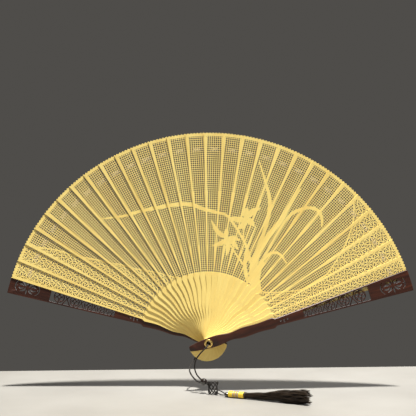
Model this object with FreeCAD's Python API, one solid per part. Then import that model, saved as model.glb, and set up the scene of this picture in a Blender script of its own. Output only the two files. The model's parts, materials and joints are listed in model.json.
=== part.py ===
"""Folding hand fan made of overlapping bamboo sticks between two hardwood guards.

Millimetres. The origin is on the pivot axis, half way through the closed stack.
+Z points up through the middle of the open fan, +X to the right and -Y to the front.
Every stick and guard is a flat plate that turns about the pivot axis, which is the Y axis.
"""

import FreeCAD, Part
import math
import os

from FreeCAD import Vector

# ---- driving sizes: fan -------------------------------------------------------------
fan_radius = 215.0            # pivot to rim
tail_length = 20.0            # pivot to the end of each head, on the far side
stick_count = 28
stick_thickness = 0.5
layer_gap = 0.22              # free space between neighbouring plates

stick_step = 5.09             # degrees between neighbouring sticks when open
front_guard_step = 4.1        # degrees from the front guard to its stick
rear_guard_step = 4.9         # degrees from the rear guard to its stick
# An opened fan is never quite even: (stick, degrees that it stands anticlockwise of even).
unevenness = ((1, 0.4), (12, 0.9), (20, 0.0), (28, -0.2))
stick_half_angle = 3.0        # degrees, half the spread of one blade
guard_half_angle = 2.9

guard_thickness = 2.6
guard_head_thickness = 1.6    # the head is thinned so that the eyelet sits below the face
guard_ramp_start = 26.0       # along the guard, where the thinned head ends
guard_ramp_length = 6.0

# ---- driving sizes: blade and head outline ------------------------------------------
blade_start = 72.0            # distance from the pivot where the blade begins
shoulder_setback = 2.7        # the shoulder's widest point lies this far below the blade
tail_end_rise = 0.5           # how far the corners of the tail stand above its end

# Half widths of the head and shank, as (distance from the pivot, half width).
stick_shank = ((-8.0, 4.1), (0.0, 4.8), (8.0, 5.0), (17.0, 4.0), (25.5, 3.0),
               (37.0, 4.35), (46.0, 4.0), (56.0, 3.55), (64.0, 4.3))
guard_shank = ((-8.0, 4.5), (0.0, 5.2), (8.0, 5.5), (17.0, 4.5), (23.5, 3.65),
               (35.5, 4.95), (43.0, 4.9), (53.0, 4.45), (62.0, 4.9))
stick_tail_half_width = 2.4
guard_tail_half_width = 2.6
stick_shoulder_half_width = 5.0
guard_shoulder_half_width = 5.5

# ---- driving sizes: pivot eyelet and washer -----------------------------------------
eyelet_bore_radius = 2.1
eyelet_wall = 0.5
pivot_clearance = 0.05        # radial, between the barrel and every plate
side_clearance = 0.06         # between the outer plates and the flange or washer
flange_radius = 4.3
flange_thickness = 0.9
washer_radius = 4.3
washer_thickness = 0.45
rolled_rim_radius = 3.5
rolled_rim_thickness = 0.5

# ---- driving sizes: linking thread --------------------------------------------------
thread_inset = 17.0           # rim to the line of thread holes
thread_hole_radius = 0.4
thread_width = 0.16
guard_thread_depth = 1.0      # blind hole in the inside of each guard

# ---- driving sizes: cord and tassel -------------------------------------------------
table_level = -50.0           # the surface that the tassel lies on
cord_diameter = 1.6
crown_bead_radius = 3.6
knot_width = 11.0
knot_height = 13.5
knot_depth = 5.0
neck_cord_diameter = 1.2
tassel_bead_radius = 2.5
collar_radius = 3.3
collar_length = 16.5
winding_height = 0.22
winding_width = 1.0
binding_radius = 3.0
binding_length = 2.0
skirt_length = 68.0
skirt_start_radius = 3.7
skirt_end_radius = 6.6

# The cord runs through the eyelet and both of its legs go down to the crown bead.
front_leg_route = (
    (0.0, 0.0, -1.1), (0.15, -4.6, -1.2), (0.0, -9.4, -1.05), (-0.3, -14.3, -1.3),
    (-3.4, -16.6, -4.4), (-8.5, -16.8, -9.3), (-13.0, -16.7, -15.2),
    (-14.6, -16.6, -22.2), (-13.2, -16.7, -29.0), (-9.6, -16.6, -34.2),
    (-6.6, -16.5, -36.4),
)
back_leg_route = (
    (0.0, 0.0, -1.1), (-0.15, 4.6, -1.2), (0.0, 9.4, -1.05), (-0.4, 14.3, -1.4),
    (-3.2, 16.6, -4.8), (-7.8, 16.6, -11.2), (-13.2, 14.0, -18.2),
    (-18.0, 8.0, -24.0), (-20.2, 0.2, -29.0), (-18.0, -6.0, -32.6),
    (-14.8, -10.5, -35.8), (-10.6, -14.0, -38.9), (-6.9, -16.0, -38.8),
)
crown_bead_place = Vector(-5.0, -16.5, -37.9)
knot_place = Vector(4.1, -22.0, table_level + knot_height / 2)
tassel_bead_place = Vector(17.8, -33.6, table_level + tassel_bead_radius)
collar_heading = Vector(0.9, -0.43, 0.0).normalize()

# ---- values worked out from the driving sizes ---------------------------------------
Y_AXIS = Vector(0, 1, 0)
PIVOT = Vector(0, 0, 0)
layer_pitch = stick_thickness + layer_gap
barrel_radius = eyelet_bore_radius + eyelet_wall
pivot_hole_radius = barrel_radius + pivot_clearance
thread_distance = fan_radius - thread_inset
stack_half = stick_count * layer_pitch / 2 + layer_gap / 2
guard_inner_face = stack_half
guard_outer_face = guard_inner_face + guard_thickness
head_outer_face = guard_inner_face + guard_head_thickness
sticks_spread = (stick_count - 1) * stick_step
open_spread = sticks_spread + front_guard_step + rear_guard_step
front_guard_angle = 90.0 - open_spread / 2
rear_guard_angle = 90.0 + open_spread / 2
pieces = {}


def stick_angle(number):
    """Direction of a stick in the open fan, in degrees above +X; stick 1 is leftmost."""
    even = rear_guard_angle - rear_guard_step - (number - 1) * stick_step
    for (low, start), (high, end) in zip(unevenness, unevenness[1:]):
        if number <= high:
            return even + start + (end - start) * (number - low) / (high - low)


def stick_middle(number):
    """Distance of a stick's middle plane behind the middle of the stack."""
    return (stick_count / 2 + 0.5 - number) * layer_pitch


def turned(shape, angle):
    """A plate drawn pointing up +Z, turned about the pivot to its place when open."""
    placed = shape.copy()
    placed.rotate(PIVOT, Y_AXIS, 90.0 - angle)
    return placed


def at(across, along):
    return Vector(across, 0, along)


def plate_outline(shank, tail_half_width, shoulder_half_width, half_angle):
    """Face of a stick or guard: tail, shaped shank, shoulder, and blade up to the rim."""
    lean = math.radians(half_angle)
    rim_corner = (fan_radius * math.sin(lean), fan_radius * math.cos(lean))
    foot_corner = (blade_start * math.tan(lean), blade_start)
    tail_corner = (tail_half_width, tail_end_rise - tail_length)
    shoulder = (shoulder_half_width, blade_start - shoulder_setback)

    side = [tail_corner] + [(half, along) for along, half in shank] + [shoulder]
    edges = []
    for hand in (1, -1):
        curve = Part.BSplineCurve()
        curve.interpolate([at(hand * across, along) for across, along in side])
        step = Part.LineSegment(at(hand * shoulder[0], shoulder[1]),
                                at(hand * foot_corner[0], foot_corner[1]))
        blade = Part.LineSegment(at(hand * foot_corner[0], foot_corner[1]),
                                 at(hand * rim_corner[0], rim_corner[1]))
        edges += [curve.toShape(), step.toShape(), blade.toShape()]
    rim = Part.Arc(at(rim_corner[0], rim_corner[1]), at(0, fan_radius),
                   at(-rim_corner[0], rim_corner[1]))
    tail = Part.Arc(at(tail_corner[0], tail_corner[1]), at(0, -tail_length),
                    at(-tail_corner[0], tail_corner[1]))
    edges += [rim.toShape(), tail.toShape()]
    wire = Part.Wire(Part.__sortEdges__(edges))
    return Part.Face(wire)


def plate(outline, thickness, back):
    """A plate of the given outline, from y = back - thickness to y = back."""
    solid = outline.extrude(Vector(0, -thickness, 0))
    solid.translate(Vector(0, back, 0))
    return solid


def hole(radius, along, low, high):
    """A round cutter parallel to the pivot axis, on the middle line of a plate."""
    return Part.makeCylinder(radius, high - low, Vector(0, low, along), Y_AXIS)


def make_sticks():
    outline = plate_outline(stick_shank, stick_tail_half_width,
                            stick_shoulder_half_width, stick_half_angle)
    blank = plate(outline, stick_thickness, stick_thickness / 2)
    for radius, along in ((pivot_hole_radius, 0.0), (thread_hole_radius, thread_distance)):
        blank = blank.cut(hole(radius, along, -stick_thickness, stick_thickness))
    for number in range(1, stick_count + 1):
        stick = turned(blank, stick_angle(number))
        stick.translate(Vector(0, stick_middle(number), 0))
        pieces[f"stick_{number:02d}"] = stick


def head_relief():
    """Cutter that thins the head of the front guard, with a ramp up to full thickness."""
    reach = tail_length + 5.0
    outer = -guard_outer_face - 1.0
    corners = ((outer, -reach), (-head_outer_face, -reach),
               (-head_outer_face, guard_ramp_start),
               (-guard_outer_face, guard_ramp_start + guard_ramp_length),
               (outer, guard_ramp_start + guard_ramp_length))
    points = [Vector(-reach, y, z) for y, z in corners]
    face = Part.Face(Part.makePolygon(points + [points[0]]))
    return face.extrude(Vector(2 * reach, 0, 0))


def make_guards():
    outline = plate_outline(guard_shank, guard_tail_half_width,
                            guard_shoulder_half_width, guard_half_angle)
    guard = plate(outline, guard_thickness, -guard_inner_face)
    guard = guard.cut(head_relief())
    guard = guard.cut(hole(pivot_hole_radius, 0.0, -guard_outer_face - 1.0, 0.0))
    guard = guard.cut(hole(thread_hole_radius, thread_distance,
                           -guard_inner_face - guard_thread_depth, 0.0))
    pieces["front_guard"] = turned(guard, front_guard_angle)
    mirrored = guard.mirror(PIVOT, Y_AXIS)
    pieces["rear_guard"] = turned(mirrored, rear_guard_angle)


def arc_edge(start, middle, end):
    return Part.Arc(start, middle, end).toShape()


def line_edge(start, end):
    return Part.LineSegment(start, end).toShape()


def section(radius, y):
    return Vector(radius, y, 0)


def make_eyelet():
    """Brass eyelet: a barrel with a domed flange in front and a rolled rim behind."""
    under_flange = -head_outer_face - side_clearance
    crown = under_flange - flange_thickness
    washer_back = head_outer_face + side_clearance + washer_thickness
    rim_back = washer_back + rolled_rim_thickness
    edge_round = flange_thickness / 3
    lip_radius = (eyelet_bore_radius + flange_radius) / 2
    rim_lip_radius = (eyelet_bore_radius + rolled_rim_radius) / 2

    inner_front = section(eyelet_bore_radius, under_flange - flange_thickness / 3)
    inner_back = section(eyelet_bore_radius, washer_back + rolled_rim_thickness / 3)
    dome_edge = section(flange_radius - edge_round, under_flange - 2 * edge_round)
    flange_edge = section(flange_radius - edge_round, under_flange)
    barrel_front = section(barrel_radius, under_flange)
    barrel_back = section(barrel_radius, washer_back)
    rim_edge = section(rolled_rim_radius, washer_back)

    edges = [
        line_edge(inner_back, inner_front),
        arc_edge(inner_front, section(lip_radius, crown), dome_edge),
        arc_edge(dome_edge, section(flange_radius, under_flange - edge_round), flange_edge),
        line_edge(flange_edge, barrel_front),
        line_edge(barrel_front, barrel_back),
        line_edge(barrel_back, rim_edge),
        arc_edge(rim_edge, section(rim_lip_radius, rim_back), inner_back),
    ]
    profile = Part.Face(Part.Wire(edges))
    pieces["pivot_eyelet"] = profile.revolve(PIVOT, Y_AXIS, 360)

    washer_front = Vector(0, head_outer_face + side_clearance, 0)
    washer = Part.makeCylinder(washer_radius, washer_thickness, washer_front, Y_AXIS)
    pieces["pivot_washer"] = washer.cut(
        Part.makeCylinder(barrel_radius, washer_thickness, washer_front, Y_AXIS))


def thread_span(angle_a, angle_b, y):
    """Straight length of thread in one gap, from one plate's thread hole to the next."""
    ends = []
    for angle in (angle_a, angle_b):
        turn = math.radians(angle)
        ends.append(Vector(thread_distance * math.cos(turn), y,
                           thread_distance * math.sin(turn)))
    run = ends[1] - ends[0]
    span = Part.makeBox(run.Length + thread_width, thread_width, thread_width,
                        Vector(-thread_width / 2, -thread_width / 2, -thread_width / 2))
    span.rotate(PIVOT, Y_AXIS, -math.degrees(math.atan2(run.z, run.x)))
    span.translate(ends[0])
    return span


def thread_passage(angle, low, high):
    """Thread going through one plate's thread hole, from y = low to y = high."""
    passage = Part.makeBox(thread_width, high - low, thread_width,
                           Vector(-thread_width / 2, low, -thread_width / 2))
    passage.translate(Vector(0, 0, thread_distance))
    return turned(passage, angle)


def make_link_thread():
    """One thread that goes through every stick and is glued into both guards."""
    plates = [(rear_guard_angle, None)]
    plates += [(stick_angle(n), stick_middle(n)) for n in range(1, stick_count + 1)]
    plates += [(front_guard_angle, None)]
    half = thread_width / 2
    anchor = guard_inner_face + guard_thread_depth - thread_width
    gap_y = guard_inner_face - layer_gap / 2
    lengths = [thread_passage(rear_guard_angle, gap_y - half, anchor)]
    for (angle, _), (next_angle, middle) in zip(plates, plates[1:]):
        lengths.append(thread_span(angle, next_angle, gap_y))
        if middle is not None:
            lengths.append(thread_passage(next_angle, gap_y - layer_pitch - half,
                                          gap_y + half))
            gap_y -= layer_pitch
    lengths.append(thread_passage(front_guard_angle, -anchor, gap_y + half))
    thread = lengths[0]
    for length in lengths[1:]:
        thread = thread.fuse(length)
    pieces["link_thread"] = thread.removeSplitter()


def cord_path(route, name):
    """Straight runs joined by arcs as large as their two runs allow."""
    points = [Vector(*point) for point in route]
    edges = []
    radii = []
    leave = points[0]
    for before, corner, after in zip(points, points[1:], points[2:]):
        run_in = corner - before
        run_out = after - corner
        setback = 0.45 * min(run_in.Length, run_out.Length)
        turn = run_in.getAngle(run_out)
        radius = setback / math.tan(turn / 2)
        heading_in = run_in.normalize()
        heading_out = run_out.normalize()
        arc_start = corner - heading_in * setback
        arc_end = corner + heading_out * setback
        inward = (heading_out - heading_in).normalize()
        arc_middle = corner + inward * (radius / math.cos(turn / 2) - radius)
        edges.append(line_edge(leave, arc_start))
        edges.append(arc_edge(arc_start, arc_middle, arc_end))
        radii.append(radius)
        leave = arc_end
    edges.append(line_edge(leave, points[-1]))
    print(name, "bend radii:", " ".join(f"{radius:.1f}" for radius in radii))
    return Part.Wire(edges), points[1] - points[0], points[0]


def cord_tube(route, diameter, name):
    path, heading, start = cord_path(route, name)
    circle = Part.Circle(start, heading, diameter / 2)
    face = Part.Face(Part.Wire(circle.toShape()))
    tube = path.makePipe(face)
    tube = tube if tube.ShapeType == "Solid" else tube.Solids[0]
    expected = math.pi * diameter ** 2 / 4 * path.Length
    print(name, f"length {path.Length:.1f} mm, volume {tube.Volume:.2f} of {expected:.2f}")
    return tube


def make_cord():
    pieces["loop_cord_front"] = cord_tube(front_leg_route, cord_diameter, "front leg")
    pieces["loop_cord_back"] = cord_tube(back_leg_route, cord_diameter, "back leg")


def rounded_block(width, depth, height, centre):
    """A block with well rounded edges, standing upright about its centre."""
    block = Part.makeBox(width, depth, height,
                         centre - Vector(width / 2, depth / 2, height / 2))
    return block.makeFillet(0.42 * min(width, depth, height), block.Edges)


def make_knot_and_beads():
    pieces["crown_bead"] = Part.makeSphere(crown_bead_radius, crown_bead_place)
    knot = rounded_block(knot_width, knot_depth, knot_height, knot_place)
    knot.rotate(knot_place, Vector(0, 0, 1), math.degrees(math.atan2(-0.35, 1.0)))
    pieces["tassel_knot"] = knot
    pieces["tassel_bead"] = Part.makeSphere(tassel_bead_radius, tassel_bead_place)

    cords = []
    for rise in (0.8, -0.8):
        start = knot_place + Vector(knot_width * 0.36, -1.6, 1.4 * rise - 2.4)
        end = tassel_bead_place + Vector(-tassel_bead_radius * 0.8, 0.6, rise * 0.7)
        run = end - start
        cords.append(Part.makeCylinder(neck_cord_diameter / 2, run.Length, start, run))
    pieces["neck_cords"] = Part.makeCompound(cords)


def along_tassel(distance, radius):
    """Point on the tassel's middle line, where something of this radius lies on the table."""
    start = tassel_bead_place + collar_heading * (tassel_bead_radius * 0.92)
    place = start + collar_heading * distance
    return Vector(place.x, place.y, table_level + radius)


def make_collar():
    foot = along_tassel(0.0, collar_radius)
    collar = Part.makeCylinder(collar_radius, collar_length, foot, collar_heading)
    pieces["tassel_collar"] = collar.makeFillet(collar_radius * 0.2, [
        edge for edge in collar.Edges if isinstance(edge.Curve, Part.Circle)])

    outer = collar_radius + winding_height
    for name, shares in (("collar_blue_winding", (0.30, 0.46, 0.60)),
                         ("collar_black_winding", (0.38, 0.53))):
        rings = []
        for share in shares:
            start = along_tassel(collar_length * share, collar_radius)
            ring = Part.makeCylinder(outer, winding_width, start, collar_heading)
            rings.append(ring.cut(
                Part.makeCylinder(collar_radius, winding_width, start, collar_heading)))
        pieces[name] = Part.makeCompound(rings)


def make_skirt():
    binding_foot = along_tassel(collar_length, collar_radius)
    pieces["skirt_binding"] = Part.makeCylinder(binding_radius, binding_length,
                                                binding_foot, collar_heading)
    top = along_tassel(collar_length + binding_length, collar_radius)
    end_drop = skirt_end_radius - collar_radius
    heading = (collar_heading * skirt_length + Vector(0, 0, end_drop)).normalize()
    skirt = Part.makeCone(skirt_start_radius - 0.5, skirt_end_radius - 0.2,
                          skirt_length, top, heading)
    pieces["tassel_skirt"] = skirt


def build():
    make_sticks()
    make_guards()
    make_eyelet()
    make_link_thread()
    make_cord()
    make_knot_and_beads()
    make_collar()
    make_skirt()
    os.makedirs("parts", exist_ok=True)
    for name, shape in pieces.items():
        if not shape.isValid():
            print("not valid:", name)
        shape.exportStep(f"parts/{name}.step")
    print(len(pieces), "pieces, open spread", round(open_spread, 2), "degrees")


build()
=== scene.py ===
"""The looks of a folding bamboo fan with two hardwood guards, a brass eyelet and a tassel.

Metres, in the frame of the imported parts: the origin is on the pivot axis, +Z up through
the middle of the open fan, +X to the right and -Y to the front.

A plate (a stick or a guard) is shaped upright, pointing up +Z with its middle plane at
y = 0, and is then turned about the pivot to its place in the open fan.
"""

import json
import math

import bmesh
import bpy
from mathutils import Matrix, Vector

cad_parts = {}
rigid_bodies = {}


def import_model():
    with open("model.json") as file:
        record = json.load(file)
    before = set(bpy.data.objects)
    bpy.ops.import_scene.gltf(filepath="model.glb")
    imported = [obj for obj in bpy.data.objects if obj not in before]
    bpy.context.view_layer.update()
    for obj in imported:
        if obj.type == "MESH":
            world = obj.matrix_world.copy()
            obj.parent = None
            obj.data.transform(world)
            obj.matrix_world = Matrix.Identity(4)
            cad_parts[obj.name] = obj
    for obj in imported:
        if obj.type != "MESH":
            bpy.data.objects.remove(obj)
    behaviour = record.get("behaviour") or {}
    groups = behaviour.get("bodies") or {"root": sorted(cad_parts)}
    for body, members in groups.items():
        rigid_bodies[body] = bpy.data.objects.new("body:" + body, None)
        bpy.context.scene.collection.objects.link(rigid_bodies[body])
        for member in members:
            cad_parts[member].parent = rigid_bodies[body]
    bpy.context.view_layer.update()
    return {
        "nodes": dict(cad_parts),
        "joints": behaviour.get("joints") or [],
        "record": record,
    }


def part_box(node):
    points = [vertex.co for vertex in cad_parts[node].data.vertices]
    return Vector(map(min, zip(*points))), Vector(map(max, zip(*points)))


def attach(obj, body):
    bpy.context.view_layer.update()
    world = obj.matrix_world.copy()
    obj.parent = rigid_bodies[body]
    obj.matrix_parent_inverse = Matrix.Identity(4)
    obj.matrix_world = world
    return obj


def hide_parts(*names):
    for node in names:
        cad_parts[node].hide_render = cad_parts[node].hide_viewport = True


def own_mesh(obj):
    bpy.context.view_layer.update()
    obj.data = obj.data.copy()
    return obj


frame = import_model()

MM = 0.001

# ---- the fan, as the frame holds it -------------------------------------------------
DRIVER = "front_guard_fold"
STICKS = sorted(name for name in frame["nodes"] if name.startswith("stick_"))
UPRIGHT_STICK = "stick_14"                  # the one whose rim reaches highest
fan_radius = max(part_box(node)[1][2] for node in STICKS)
thread_distance = fan_radius - 17 * MM
table_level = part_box("tassel_bead")[0][2]

# ---- piercing of the sticks ---------------------------------------------------------
field_half_angle = math.radians(2.2)
field_start = 71.8 * MM
field_end = fan_radius - 3.5 * MM
hole_size = 1.55 * MM
hole_pitch = 2.13 * MM
hole_columns = 9                            # more than the widest place of the field holds
hole_rows = 66
scroll_rows = 12
border_width = 1.3 * MM                     # solid band round a scroll corner
scroll_tile = 6.4 * MM                      # from one scroll of the corners to the next
scallops_per_step = 6
scallop_radius = 1.3 * MM
scallop_depth = 0.75 * MM

# ---- carving of the guards ----------------------------------------------------------
guard_half_angle = math.radians(2.9)
medallion_reach = (183.0 * MM, 209.0 * MM)
lattice_reach = (101.0 * MM, 171.0 * MM)
small_holes_reach = (77.0 * MM, 84.0 * MM)
guard_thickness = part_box("front_guard")[1][1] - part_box("front_guard")[0][1]
guard_rail = 1.5 * MM                       # wood left beside a carved window
bar_width = 1.0 * MM
lattice_shrink = 1 / 1.115                  # each ring is this share of the one before
lattice_rings = 5
lattice_first_ring = lattice_reach[1] - 9.5 * MM
cutter_depth = 6 * MM                       # well through the wood of a guard

# ---- cord and tassel ----------------------------------------------------------------
cord_diameter = 1.6 * MM
cord_lay = 2.6                              # length of one twist, in widths of the cord
knot_cord_radius = 0.6 * MM
knot_inset = 0.66 * MM                      # from the box of the knot to its cord's middle
knot_half_width = 5.5 * MM
collar_radius = 3.3 * MM
collar_length = 16.5 * MM
skirt_length = 68.0 * MM


# ---- small tools --------------------------------------------------------------------
def folds():
    """How far each plate leans clockwise from upright in the open fan, in radians."""
    travel = next(joint["range_deg"][1] for joint in frame["joints"]
                  if joint["name"] == DRIVER)
    leans = {"front_guard": math.radians(travel)}
    for row in frame["record"]["behaviour"]["couplings"]:
        body = row["joint"].removesuffix("_fold")
        leans[body] = math.radians(travel * row["ratio"])
    return leans


LEAN = folds()


def layer(node):
    """The middle plane of a plate, along Y."""
    low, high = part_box(node)
    return (low[1] + high[1]) / 2


def upright_to_place(node):
    return Matrix.Translation((0, layer(node), 0)) @ Matrix.Rotation(LEAN[node], 4, "Y")


def link(piece):
    bpy.context.scene.collection.objects.link(piece)
    return piece


def finished(name, mesh, body, replaced=(), smooth=None):
    """A finished piece: its mesh is in place and the object stays at the origin."""
    piece = link(bpy.data.objects.new(name, mesh))
    if smooth is not None:
        mesh.shade_smooth()
        if smooth < 180:
            mesh.set_sharp_from_angle(angle=math.radians(smooth))
    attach(piece, body)
    if replaced:
        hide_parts(*replaced)
    return piece


def mesh_of(name, shape):
    """Turns a bmesh into a mesh with its faces outwards."""
    bmesh.ops.recalc_face_normals(shape, faces=shape.faces[:])
    mesh = bpy.data.meshes.new(name)
    shape.to_mesh(mesh)
    shape.free()
    return mesh


def cad_copy(node):
    """A merged copy of a CAD node's mesh, as a bmesh."""
    shape = bmesh.new()
    shape.from_mesh(frame["nodes"][node].data)
    bmesh.ops.remove_doubles(shape, verts=shape.verts[:], dist=1e-6)
    return shape


def smooth_line(points, steps=8):
    """A rounded line through the points (Catmull-Rom)."""
    points = [Vector(point) for point in points]
    padded = [2 * points[0] - points[1]] + points + [2 * points[-1] - points[-2]]
    line = []
    for before, start, end, after in zip(padded, padded[1:], padded[2:], padded[3:]):
        for step in range(steps):
            t = step / steps
            line.append(0.5 * (2 * start + (end - before) * t
                               + (2 * before - 5 * start + 4 * end - after) * t * t
                               + (3 * start - before - 3 * end + after) * t ** 3))
    line.append(points[-1])
    return line


def widened(outline, distance):
    """The outline moved outwards by a distance all round."""
    turn = sum(before.x * after.y - after.x * before.y
               for before, after in zip(outline, outline[1:] + outline[:1]))
    hand = 1 if turn > 0 else -1
    wider = []
    for index, point in enumerate(outline):
        before = (point - outline[index - 1]).normalized()
        after = (outline[(index + 1) % len(outline)] - point).normalized()
        side = Vector((before.y + after.y, -before.x - after.x)) * hand
        reach = distance / max(0.5, side.length / 2)
        wider.append(point + side.normalized() * reach)
    return wider


def prism(name, outline, depth, chamfer=0.0, inner_depth=0.0):
    """A closed solid with this outline in the XZ plane; a chamfer widens both ends."""
    shape = bmesh.new()
    levels = [(-depth / 2, chamfer), (depth / 2, chamfer)]
    if chamfer:
        levels[1:1] = [(-inner_depth / 2, 0.0), (inner_depth / 2, 0.0)]
    rings = []
    for y, spread in levels:
        path = widened(outline, spread) if spread else outline
        rings.append([shape.verts.new((point[0], y, point[1])) for point in path])
    shape.faces.new(rings[0])
    shape.faces.new(rings[-1][::-1])
    count = len(outline)
    for ring, next_ring in zip(rings, rings[1:]):
        for index in range(count):
            after = (index + 1) % count
            shape.faces.new((ring[index], next_ring[index], next_ring[after],
                             ring[after]))
    return mesh_of(name, shape)


def ribbon(line, widths):
    """Outline of a leaf that follows a line, with its width at each share of the way."""
    left = []
    right = []
    last = len(line) - 1
    for index, point in enumerate(line):
        heading = line[min(index + 1, last)] - line[max(index - 1, 0)]
        side = Vector((-heading.y, heading.x)).normalized()
        half = level(widths, index / last) / 2
        left.append(point + side * half)
        right.append(point - side * half)
    return left + right[::-1]


def level(stops, share):
    """The value at a share of the way along evenly spaced stops."""
    place = share * (len(stops) - 1)
    index = min(int(place), len(stops) - 2)
    return stops[index] + (stops[index + 1] - stops[index]) * (place - index)


def arc(centre, radius, start, sweep, steps=14):
    """Points round an arc; angles in degrees from +X."""
    points = []
    for step in range(steps + 1):
        angle = math.radians(start + sweep * step / steps)
        points.append(Vector((centre[0] + radius * math.cos(angle),
                              centre[1] + radius * math.sin(angle))))
    return points


# ---- node trees ---------------------------------------------------------------------
def socket(sockets, name):
    """The socket of this name or number that is in use."""
    if isinstance(name, int):
        return sockets[name]
    return next(one for one in sockets if one.name == name and one.enabled)


def add(tree, kind, inputs=None, **settings):
    """Adds a node. Each input is a value, an output to link, or a list of outputs."""
    node = tree.nodes.new(kind)
    for name, value in settings.items():
        setattr(node, name, value)
    for name, value in (inputs or {}).items():
        for one in value if isinstance(value, list) else [value]:
            if isinstance(one, bpy.types.NodeSocket):
                tree.links.new(one, socket(node.inputs, name))
            else:
                socket(node.inputs, name).default_value = one
    return node


def out(node, name=0):
    return socket(node.outputs, name)


def calc(tree, operation, first, second=0.0):
    return out(add(tree, "ShaderNodeMath", {0: first, 1: second}, operation=operation))


def new_tree(name, **inputs):
    """An empty geometry tree with these named inputs; gives the tree and its inputs."""
    tree = bpy.data.node_groups.new(name, "GeometryNodeTree")
    tree.interface.new_socket("Geometry", in_out="OUTPUT",
                              socket_type="NodeSocketGeometry")
    for label, kind in inputs.items():
        tree.interface.new_socket(label.replace("_", " "), in_out="INPUT",
                                  socket_type="NodeSocket" + kind)
    source = tree.nodes.new("NodeGroupInput")
    sockets = {label: source.outputs[label.replace("_", " ")] for label in inputs}
    return tree, sockets


def close_tree(tree, geometry, material):
    """Ends a tree: everything is made real and gets its material."""
    real = add(tree, "GeometryNodeRealizeInstances", {0: geometry})
    painted = add(tree, "GeometryNodeSetMaterial",
                  {"Geometry": out(real), "Material": material})
    end = tree.nodes.new("NodeGroupOutput")
    tree.links.new(out(painted), end.inputs[0])
    return tree


def grow(tree, base=None, **inputs):
    """Runs a tree once on a base mesh, and gives back the plain mesh that it makes."""
    worker = link(bpy.data.objects.new("worker", base or bpy.data.meshes.new("seed")))
    modifier = worker.modifiers.new("tree", "NODES")
    modifier.node_group = tree
    names = {item.name: item.identifier for item in tree.interface.items_tree
             if item.in_out == "INPUT"}
    for label, value in inputs.items():
        modifier[names[label.replace("_", " ")]] = value
    worker.update_tag()
    graph = bpy.context.evaluated_depsgraph_get()
    mesh = bpy.data.meshes.new_from_object(worker.evaluated_get(graph))
    bpy.data.objects.remove(worker)
    return mesh


def bundle(name, meshes):
    """A collection of helper solids that a tree reads, and that is removed afterwards."""
    group = bpy.data.collections.new(name)
    bpy.context.scene.collection.children.link(group)
    for index, mesh in enumerate(meshes):
        group.objects.link(bpy.data.objects.new(f"{name}_{index}", mesh))
    return group


def discard(group):
    for helper in list(group.objects):
        bpy.data.objects.remove(helper)
    bpy.data.collections.remove(group)


def solids(tree, collection):
    """The solids of a collection, each as its own operand."""
    return out(add(tree, "GeometryNodeCollectionInfo",
                   {"Collection": collection, "Separate Children": True}))


def boolean(tree, operation, first, others):
    """Cuts, joins or intersects solids; others is one output or a list of them."""
    others = others if isinstance(others, list) else [others]
    if operation == "DIFFERENCE":
        inputs = {0: first, 1: others}
    else:
        inputs = {1: [first] + others}
    return out(add(tree, "GeometryNodeMeshBoolean", inputs, operation=operation,
                   solver="MANIFOLD"))


def moved(tree, geometry, place=None, rotation=None, scale=None):
    inputs = {"Geometry": geometry}
    if place is not None:
        inputs["Translation"] = place
    if rotation is not None:
        inputs["Rotation"] = rotation
    if scale is not None:
        inputs["Scale"] = scale
    return out(add(tree, "GeometryNodeTransform", inputs))


def vector(tree, x=0.0, y=0.0, z=0.0):
    return out(add(tree, "ShaderNodeCombineXYZ", {0: x, 1: y, 2: z}))


def copies(tree, points, shape, **extra):
    inputs = {"Points": points, "Instance": shape}
    inputs.update({name.replace("_", " "): value for name, value in extra.items()})
    return out(add(tree, "GeometryNodeInstanceOnPoints", inputs))


# ---- finishes -----------------------------------------------------------------------
def finish(name, **values):
    """A material with a Principled shader; gives the material, its tree and shader."""
    material = bpy.data.materials.new(name)
    material.use_nodes = True
    tree = material.node_tree
    shader = tree.nodes["Principled BSDF"]
    for label, value in values.items():
        shader.inputs[label.replace("_", " ")].default_value = value
    return material, tree, shader


def place_on(tree, kind, scale=(1, 1, 1), uv=None):
    """Object coordinates, or those of a UV map, with their own scale on each axis."""
    if uv:
        start = out(add(tree, "ShaderNodeUVMap", uv_map=uv))
    else:
        start = out(add(tree, "ShaderNodeTexCoord"), kind)
    return out(add(tree, "ShaderNodeMapping", {"Vector": start, "Scale": scale}))


def speckle(tree, place, scale, detail=3.0, roughness=0.5):
    return out(add(tree, "ShaderNodeTexNoise",
                   {"Vector": place, "Scale": scale, "Detail": detail,
                    "Roughness": roughness}))


def ramp(tree, factor, stops):
    """Colours along a factor; each stop is (place, colour)."""
    node = add(tree, "ShaderNodeValToRGB", {0: factor})
    elements = node.color_ramp.elements
    while len(elements) < len(stops):
        elements.new(0.5)
    for element, (place, colour) in zip(elements, stops):
        element.position = place
        element.color = (*colour, 1)
    return out(node)


def blended(tree, factor, first, second, mode="MIX"):
    node = add(tree, "ShaderNodeMix", data_type="RGBA", blend_type=mode)
    for name, value in (("Factor", factor), ("A", first), ("B", second)):
        target = socket(node.inputs, name)
        if isinstance(value, bpy.types.NodeSocket):
            tree.links.new(value, target)
        else:
            target.default_value = value if name == "Factor" else (*value, 1)
    return socket(node.outputs, "Result")


def raise_surface(tree, shader, height, distance, strength=0.6):
    bump = add(tree, "ShaderNodeBump",
               {"Height": height, "Distance": distance, "Strength": strength})
    tree.links.new(out(bump), shader.inputs["Normal"])


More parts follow.
